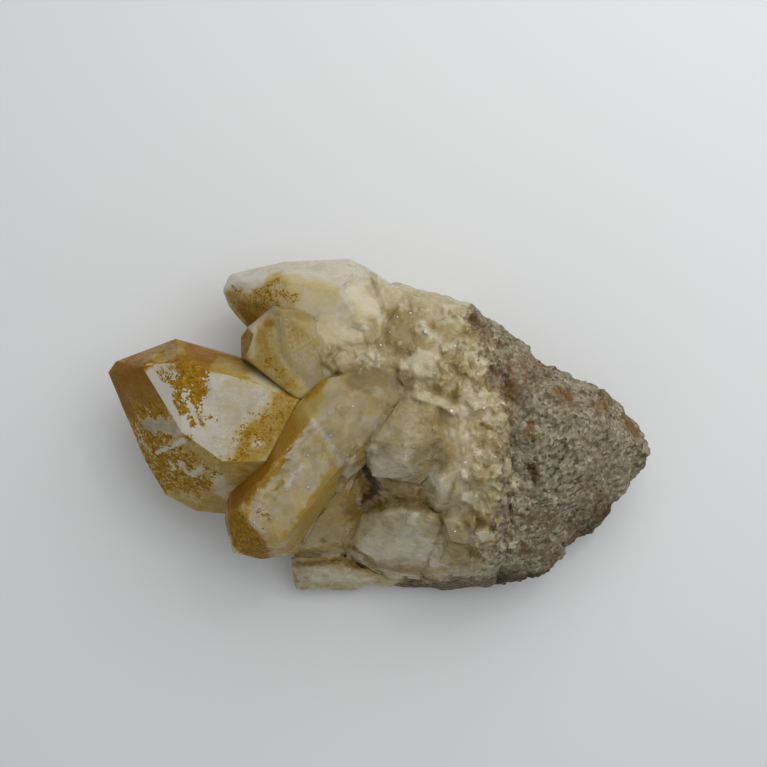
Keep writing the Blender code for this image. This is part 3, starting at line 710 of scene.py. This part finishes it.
# The milky crystals: three stubby quartz crystals so full of tiny bubbles and cracks that
# they look white.  They are made as the larger points are, with rounder edges and faces
# that swell more, and two of them have small fresh chips that glint.
milky = quartz("milky_quartz", MILKY, 0.18, 0.12)
centre = crystal("central_crystal", "centre_crystal", 60, edge=0.8)
plain = add_flashes(centre, [
    (-1.4, -6.2, 0.8), (-0.4, -6.9, 0.5), (4.2, -3.4, 0.5), (0.2, -5, 0.5), (5, 4.4, 0.4),
    (2.6, -6.6, 0.5), (1.2, -6.8, 0.4), (3.4, -4.8, 0.4), (1.8, -3.6, 0.4), (-0.4, -3.4, 0.3)])
CENTRE_TINT = [
    ((-1, -6.5), (4, -4), 2.2, 0.1), ((2.4, -1.8), (4.6, -5), 0.35, 0.0),
    ((3, 3.5), (11, 1), 2.4, 0.42), ((12.4, -4), (13.4, 2), 1.2, 0.2),
    ((7, -5), (11, -3), 2.0, 0.38)]
paint(centre, "tint", 0.32, strokes=CENTRE_TINT)
paint(centre, "mottle", 0.25, strokes=plain)
paint(centre, "shatter", 0.4, strokes=plain)
finish_skin(centre, milky, 0.5, 3)
side = crystal("side_crystal", "small_side_crystal", 80, edge=0.6)
plain = add_flashes(side, [
    (15.2, -12.4, 0.9), (14.4, -10.8, 0.5), (11, -6.8, 0.6), (9.6, -9.4, 0.5)])
SIDE_TINT = [
    ((8, -8.6), (8.6, -13.4), 1.0, 0.34), ((9.4, -6.8), (10.8, -9.6), 0.9, 0.0),
    ((11.6, -12), (12.6, -8), 0.3, 0.45)]
paint(side, "tint", 0.17, strokes=SIDE_TINT)
paint(side, "mottle", 0.15, strokes=plain)
paint(side, "shatter", 0.4, strokes=plain)
finish_skin(side, milky, 0.3, 2)
lower = crystal("lower_crystal", "lower_milky_crystal", 20, edge=0.8)
LOWER_TINT = [
    ((-3.6, -13.6), (2, -11.6), 1.4, 0.62), ((2, -11.6), (8, -12.8), 1.2, 0.55),
    ((1, -21), (9, -18.8), 2.2, 0.05), ((-2.6, -21), (0, -24), 1.4, 0.05),
    ((6, -16.6), (9, -17.6), 1.1, 0.26), ((6, -14.2), (5.6, -15.6), 0.6, -0.05),
    ((10.4, -15.4), (13, -20), 1.4, 0.36), ((-2, -25), (7, -26.2), 1.0, 0.5),
    ((-5, -21.8), (-1, -25), 0.5, 0.6), ((7.6, -22.4), (9.4, -24), 1.0, 0.0)]
paint(lower, "tint", 0.18, strokes=LOWER_TINT)
paint(lower, "mottle", 0.3)
paint(lower, "shatter", 0.4)
finish_skin(lower, milky, 0.7, 4)

# The milky base: quartz crystals grown so close together that they fuse into one pale mass,
# with painted shade in its hollows.  The solid is joined with a shrunken copy of each crystal's
# foot, so that no gap shows round it, then with low crystals and sugar-like grains, and remeshed.
base = copy_node("milky_base", "base")
cores = []
# Each foot is shrunk by so many mm and kept from one corner of a box in mm to the other.
for node, shrink, low, high in (
        ("central_crystal", 0.9, (-20, -20, 0), (20, 20, 50)),
        ("side_crystal", 0.9, (0, -20, 0), (30, 20, 50)),
        ("lower_crystal", 1.0, (-20, -40, 0), (30, 20, 50)),
        ("golden_point", 1.0, (-30, -40, 0), (30, 20, 50)),
        ("corner_crystal", 0.9, (-30, -40, 0), (30, 20, 50)),
        ("broken_point", 1.05, (-8, -8, 18), (10, 20, 50)),
        ("middle_point", 1.0, (-12, 6, 14), (10, 24, 50)),
        ("upper_point", 1.0, (-7, 10, 10), (10, 40, 50))):
    core = copy_node(node, "core")
    low, high = Vector(low) * MM, Vector(high) * MM
    bpy.ops.mesh.primitive_cube_add(size=1, location=(low + high) / 2, scale=high - low)
    near = bpy.context.active_object
    work(core, "BOOLEAN", object=near, operation="INTERSECT", solver="EXACT")
    bpy.data.objects.remove(near)
    work(core, "DISPLACE", strength=-shrink * MM, mid_level=0.0)
    cores.append(core)
cores.append(block([(-12.6, 18.4), (-10, 21.6), (-3, 22), (-2, 16), (-8, 14.6)], 28.6,
                   (0.05, -0.3)))
join_to(base, cores)
work(base, "REMESH", mode="VOXEL", voxel_size=0.45 * MM)
work(base, "SMOOTH", factor=0.5, iterations=6)
work(base, "DISPLACE", strength=0.9 * MM, mid_level=0.0)
work(base, "DISPLACE", texture=bumps("CLOUDS", 3.0 * MM, noise_depth=2), strength=0.8 * MM,
     mid_level=0.6, texture_coords="LOCAL")

blocks = [block(*sizes) for sizes in (
    # Upper half, from the upper point to the lens-shaped pit.
    ([(3.4, 22.2), (0.6, 18.2), (0.3, 15.4), (4, 13.2), (7.2, 15.4), (7.4, 17.6), (5.2, 20)],
     30.6, (0.1, -0.25)),
    ([(4.4, 11), (4.8, 13), (6.4, 14.6), (9, 14.8), (11, 13.6), (10.4, 10.4), (8.6, 9), (6, 9.2)],
     32.8, (0.1, -0.15)),
    ([(10.4, 15.4), (12.6, 16.8), (16, 16.6), (18, 14.8), (17, 12.6), (14.4, 13), (11.6, 14.2)],
     33.0, (0.05, -0.2)),
    ([(7.2, 18.4), (8.2, 19), (9.4, 18), (8.8, 16.4), (7.6, 16.2)], 31.6),
    ([(9, 19.6), (12, 19.8), (14.6, 18.6), (13, 16.8), (9.8, 16.6), (9, 18)], 31.0, (0.0, -0.5)),
    ([(10, 22.8), (14.8, 22.4), (16, 20.6), (14, 20), (10.6, 20.8)], 27.4, (0.0, -0.6)),
    ([(5, 24.6), (8, 23.6), (10, 22.8), (9, 20.8), (6, 20.4), (4.6, 22.4)], 27.4, (0.0, -0.5)),
    ([(10.6, 13.6), (13.2, 12.8), (15, 10.6), (13, 9.6), (11, 10.6)], 33.8, (0.15, 0.0)),
    ([(13.2, 12.8), (14.6, 12.8), (15.6, 11.2), (14.6, 10.8), (13.4, 11.6)], 34.4),
    ([(15.4, 10.4), (17.6, 10.2), (18, 8.4), (16, 7.2), (14, 7.8), (13.6, 9.2)], 33.8),
    ([(-4.2, 14.6), (-0.4, 15), (0.4, 12.6), (-2, 11.6), (-4.4, 11.8)], 30.2, (0.1, 0.1)),
    ([(-9, 14.6), (-5, 13.6), (-4.6, 11.6), (-8, 10.6), (-10, 12)], 31.2, (0.0, -0.15)),
    ([(-7.4, 10.8), (-5.2, 9.6), (-3.6, 11), (-4.2, 12.8), (-6.8, 12.6)], 31.9, (0.1, 0.1)),
    ([(-2.8, 20), (0.4, 20), (0.6, 16.8), (-1.6, 15), (-3.4, 16)], 30.0, (0.0, -0.1)),
    ([(-1.4, 27.6), (2, 26.2), (4.6, 25.4), (4, 22.4), (0.4, 20.6)], 25.3, (-0.1, -0.6)),
    # Middle, between the central crystal and the rock.
    ([(-2.4, -2.6), (-0.9, -3.2), (0.2, -0.6), (-1.2, 0.2)], 34.2, (0.3, 0.1)),
    ([(-1.4, 0.2), (0.2, -0.5), (1.8, 2.4), (0.6, 3.2)], 34.5, (0.3, 0.1)),
    ([(5, 8.2), (8, 7.8), (11.6, 5.8), (12.4, 3.8), (9, 4.8), (5.4, 6.2)], 34.2, (0.0, -0.4)),
    ([(11.2, 5), (12.6, 5.2), (13.2, 3.8), (12.2, 3), (11.2, 3.8)], 34.8),
    ([(13, 5), (15.4, 5.6), (16.4, 4), (15.2, 0), (14, -3), (12.8, -1), (13, 2)], 34.3, (-0.2, 0)),
    ([(16, 4), (18, 5), (20, 3.8), (20, 2), (17.6, 1.4), (16, 2.4)], 34.0, (0.05, 0.1)),
    ([(15, -0.4), (18, 0.8), (20.4, -1), (19, -2.6), (16, -2)], 33.6, (-0.1, -0.1)),
    ([(15, -3.4), (16, -2.6), (18.2, -2.2), (19.4, -3.6), (18.8, -5), (17.6, -5)],
     34.2, (-0.15, 0.25)),
    ([(14.4, -4.6), (17.6, -5.8), (19.6, -6.4), (20, -8.6), (17.4, -8.2)], 33.0, (-0.1, 0.3)),
    ([(17, -9), (20.2, -8.8), (21, -11), (19, -12), (17.2, -11)], 31.6, (0.1, 0.1)),
    ([(20.4, -4.6), (22.4, -4), (22.6, -7.6), (20.6, -8)], 32.0, (-0.2, 0.1)),
    ([(20, 0.6), (22, 1), (22.2, -2.6), (20.4, -3)], 33.4, (-0.1, 0.1)),
    # Lower half, from the dark pocket down.
    ([(17, -12.4), (18.6, -11.4), (20, -12.6), (19.4, -14.2), (17.8, -13.8)], 30.6, (0, 0.3)),
    ([(16.2, -17.2), (17.6, -16.4), (20, -17.8), (17.8, -19.4)], 28.2, (-0.1, 0.5)),
    ([(17.2, -17), (20, -18), (21.2, -20), (18, -20.2)], 27.2, (0.0, 0.6)),
    ([(17.4, -21), (20, -20.6), (21.6, -21.8), (19, -22.8)], 24.8, (0.0, 0.5)),
    ([(11, -14.8), (14.4, -14.4), (16, -16.6), (15, -19.6), (12.4, -19)], 27.6, (0.0, 0.6)),
    ([(12, -19.6), (15.6, -19.8), (16.2, -23), (13, -25), (10.6, -23.6)], 22.6, (0.1, 1.0)),
    ([(20, -12.6), (22, -12.2), (22.6, -15.6), (20.4, -16)], 29.6, (-0.1, 0.4)),
    ([(0.2, -7.6), (7.4, -8.4), (7.4, -10.4), (1.6, -11)], 25.2, (0.2, 0.0)),
    ([(-8.6, -7.2), (-6.8, -6.2), (-5.4, -7.8), (-7, -10.4), (-8.8, -10)], 27.0, (0, 0), 9.0),
    ([(-7.4, -9.6), (-8.6, -9.2), (-12.2, -14.6), (-11, -15.2)], 24.4, (0.37, 0.57)),
    ([(-10.4, -13.6), (-11.6, -13.2), (-15, -19.4), (-13.8, -20)], 21.4, (0.37, 0.57)))]
chance = random.Random(5)
for _ in range(380):
    # Sugar-like grains: a band along the rock, more of them loose on the upper half, and a
    # patch between the upper and the broken point.
    lot = chance.random()
    if lot < 0.64:
        x, y = chance.uniform(13.5, 22.5), chance.uniform(-24, 21)
    elif lot < 0.8:
        x, y = chance.uniform(2.5, 14), chance.uniform(7, 23)
    else:
        x, y = chance.uniform(-10, 0), chance.uniform(10.6, 15)
    size = chance.uniform(0.7, 2.0)
    angles = [chance.uniform(0, 2) + 1.25 * turn for turn in range(5)]
    outline = [(x + size / 2 * math.cos(angle), y + size / 2 * math.sin(angle) * 1.3)
               for angle in angles]
    slope = (chance.uniform(-0.9, 0.9), chance.uniform(-0.9, 0.9))
    found, spot, *_ = base.ray_cast(Vector((x * MM, y * MM, 0.1)), Vector((0, 0, -1)))
    if found:
        blocks.append(block(outline, spot.z / MM + size * 0.45, slope, 2.0))
join_to(base, blocks)
work(base, "REMESH", mode="VOXEL", voxel_size=0.3 * MM)
work(base, "DISPLACE", texture=bumps("CLOUDS", 1.2 * MM, noise_depth=2), strength=0.35 * MM,
     mid_level=0.5, texture_coords="LOCAL")
work(base, "DECIMATE", ratio=0.42)
plain = add_flashes(base, [
    (9.3, 10.6, 0.5), (11.9, 10.2, 0.4), (14.5, 8.8, 0.5), (4.9, 17.4, 0.5), (1.6, 17.6, 0.5),
    (19.6, 13.7, 0.5), (16.5, 10.4, 0.6), (12, 4.2, 0.9), (17.4, 4.6, 0.5), (20, 2.4, 0.6),
    (-0.8, 14.6, 0.6), (0, 15.4, 0.5), (19.4, -3.6, 0.5), (4.6, 14.2, 0.4), (2.9, 20.3, 0.5),
    (5.2, 21, 0.7), (14.4, -4.6, 0.6), (16, -2.8, 0.5), (20.4, -0.2, 0.5), (18.4, -9, 0.4),
    (20, -12.6, 0.5), (18, -17, 0.5), (19.4, -21.2, 0.6), (13, -17, 0.5), (7.6, 17.6, 0.6),
    (-7.2, 12.2, 0.4), (-5.4, 12.8, 0.4), (-2.8, 12.2, 0.4), (12.8, 15.2, 0.7)])
only(base)
bpy.ops.object.shade_smooth_by_angle(angle=math.radians(12))
paint(base, "rock", 0.0, strokes=[
    # The first three strokes turn the crevice between the central, golden and lower crystals into
    # dark rock, as painted shade.
    ((-3.1, -5.4), (-1.8, -8), 0.5, 0.9), ((-1.8, -8.2), (0.8, -10), 0.6, 0.9),
    ((-0.6, -9.6), (-3.2, -12.4), 0.5, 0.9), ((17, 21), (21, 9), 2.4, 0.72),
    ((22.5, 8), (22.6, 4), 2.0, 0.6), ((22, 4), (22.4, -12), 2.8, 0.46),
    ((22, -12), (21, -26), 2.8, 0.55), ((4, -30.6), (24, -29), 2.6, 0.8)])
paint(base, "rust", 0.3, strokes=RUST)
# Painted shade: the crevice strokes at 1.0, the lens-shaped pit from (9, 7.6) to (12.6, 6.2), the
# pocket from (15.6, -15) to (18.8, -15.6) and the underside from (6, -30.4) to (26, -29) are
# painted dark as shade.
paint(base, "tint", 0.28, strokes=[
    ((2, 2), (10, -2), 5.4, 0.36), ((0, -17), (8, -18), 6.0, 0.24),
    ((10, -9), (14, -10), 3.2, 0.17), *CENTRE_TINT, *SIDE_TINT, *LOWER_TINT,
    ((-6, -12), (-12, -18), 4.0, 0.54), ((-4, -10), (-8, -14), 3.0, 0.56),
    ((-14, -26), (-6, -27), 3.0, 0.35), ((-16, -25.4), (-7.7, -24), 0.6, 0.7),
    ((-7.7, -24), (0, -27.2), 0.6, 0.7), ((-13, -27.4), (-3, -28), 1.4, 0.1),
    ((-8, -18), (-6.5, -20), 1.2, 0.3), ((-6, 4), (1, 4), 4.4, 0.26),
    ((-4, 9.8), (4, 9.2), 1.9, 0.38), ((-4, 26), (0, 22), 4.0, 0.0),
    ((-8, -7), (-7.4, -10), 1.4, 0.45), ((6, -30.4), (26, -29), 2.6, 0.62),
    ((2, 21.5), (3.6, 19), 1.6, 0.5), ((1.6, 17), (4, 14.6), 2.2, 0.5),
    ((4, 20), (6, 16.4), 1.2, 0.48), ((-2.6, 17.6), (-1, 15.4), 1.0, 0.42),
    ((-4, 13.4), (0, 13.2), 1.2, 0.2), ((-8.6, 11.6), (-6, 13.4), 1.4, 0.2),
    ((7.8, 18.6), (8.8, 17), 1.1, -0.02), ((5, 11), (8, 12.6), 1.8, 0.02),
    ((10.6, 15.4), (13.6, 16.6), 1.4, 0.12), ((14.4, 15.4), (17.4, 13.6), 1.6, 0.14),
    ((9.6, 18.4), (12, 17.4), 1.3, 0.38), ((13, 17.6), (16, 17.8), 0.9, 0.4),
    ((9, 7.6), (12.6, 6.2), 0.9, 0.62), ((11.4, 13.4), (13.4, 10.6), 1.2, 0.42),
    ((11.8, 4.2), (13.4, 3.6), 0.9, 0.08), ((14.4, 8), (17, 7.4), 1.0, 0.16),
    ((16.6, 4.4), (19.6, 2.4), 1.6, 0.18), ((17, 2.2), (18.6, 1.4), 0.4, 0.75),
    ((10, 21.4), (15.6, 21), 1.4, 0.16), ((15.8, 20), (16.8, 19.2), 0.8, 0.8),
    ((13.4, 3), (14, -4), 1.6, 0.14), ((15.6, -3), (19, -4), 1.4, 0.17),
    ((16, -4.4), (18.2, -5.4), 0.35, 0.55), ((19.6, -2.6), (20.6, -3.4), 0.7, 0.5),
    ((15.6, -15), (18.8, -15.6), 1.6, 0.5), ((17.6, -17.6), (21, -18.4), 1.0, 0.16),
    ((17.6, -19.2), (20.6, -18.9), 0.35, 0.62), ((13.6, -20), (16.8, -24), 2.2, 0.42),
    ((18.6, -21.6), (21.6, -22.4), 1.0, 0.22), ((-3.1, -5.4), (-1.8, -8), 0.5, 1.0),
    ((-1.8, -8.2), (0.8, -10), 0.8, 1.0), ((-0.6, -9.6), (-3.2, -12.4), 0.8, 1.0),
    ((-2, -3), (1.2, 3), 1.2, 0.14), ((1, -9), (7, -9.4), 1.0, 0.45),
    ((1, -11), (6.4, -10.8), 0.8, 0.5), ((-12, 20), (-3, 18), 2.8, 0.16),
    ((-12, 17), (-9, 12), 2.4, 0.3), ((-1.8, 27), (3, 24), 2.0, 0.2),
    ((-1.2, 19.4), (-1.6, 16.4), 1.0, 0.42), ((5, 7.4), (11, 5.2), 0.9, 0.22),
    ((17.6, -8.6), (20, -11), 1.2, 0.28), ((-8.2, -11), (-13.6, -19), 0.7, 0.36),
    ((-13, -21.6), (-8, -22.6), 1.2, 0.2)])
paint(base, "smoke", 0.0, strokes=[
    ((-6, 3), (1, 4), 4.0, 0.45), ((-4, 9.8), (4, 9), 2.0, 0.95)])
paint(base, "mottle", 0.34, strokes=[((-9, 18), (0, 21), 4.5, 0.15), *plain])
paint(base, "shatter", 0.6, strokes=[
    ((17.5, 18), (19, -22), 4.5, 0.85), ((-9, 18), (0, 21), 4.5, 0.2), *plain])
# Milky quartz with many small crystal faces: it sparkles where it is clean, has painted shade
# in its hollows, and turns into the matt rock at its rim.
base.data.materials.append(quartz("intergrown_milky_quartz", MILKY, 0.2, 0.1, rocky=True))
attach(base, "root")
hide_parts("milky_base")

# The stage: a sheet of matt white paper, a pale sky, a broad window, a small bright one that
# makes the glints, and a camera straight above.
bpy.ops.mesh.primitive_plane_add(size=1.6, location=(0, 0, 0))
paper = bpy.context.active_object
paper.name = "paper"
sheet = new_material("white_paper")
surface = add(sheet, "ShaderNodeBsdfPrincipled", {"Base Color": linear("#E5E6E6"),
                                                  "Roughness": 0.9})
add(sheet, "ShaderNodeOutputMaterial", {"Surface": surface.outputs["BSDF"]})
paper.data.materials.append(sheet)

world = bpy.data.worlds.new("studio")
bpy.context.scene.world = world
world.use_nodes = True
world.node_tree.nodes["Background"].inputs["Color"].default_value = (0.95, 0.98, 1.0, 1.0)
world.node_tree.nodes["Background"].inputs["Strength"].default_value = 0.4


def add_window(name, size, watts, place):
    """A square light of so many metres, turned to the middle of the paper."""
    lamp = bpy.data.lights.new(name, "AREA")
    lamp.size = size
    lamp.energy = watts
    light = bpy.data.objects.new(name, lamp)
    light.location = place
    light.rotation_euler = (-light.location).to_track_quat("-Z", "Y").to_euler()
    bpy.context.scene.collection.objects.link(light)


add_window("window", 0.32, 0.62, (0.10, 0.15, 0.25))
add_window("far_window", 0.02, 0.04, BRIGHT_WINDOW)

view = bpy.data.cameras.new("camera")
view.lens = 62.57   # takes in 150 mm of the paper from 26 cm above
view.sensor_width = 36
view.clip_start = 0.01
camera = bpy.data.objects.new("camera", view)
camera.location = EYE
bpy.context.scene.collection.objects.link(camera)
bpy.context.scene.camera = camera
bpy.context.scene.view_settings.view_transform = "Standard"
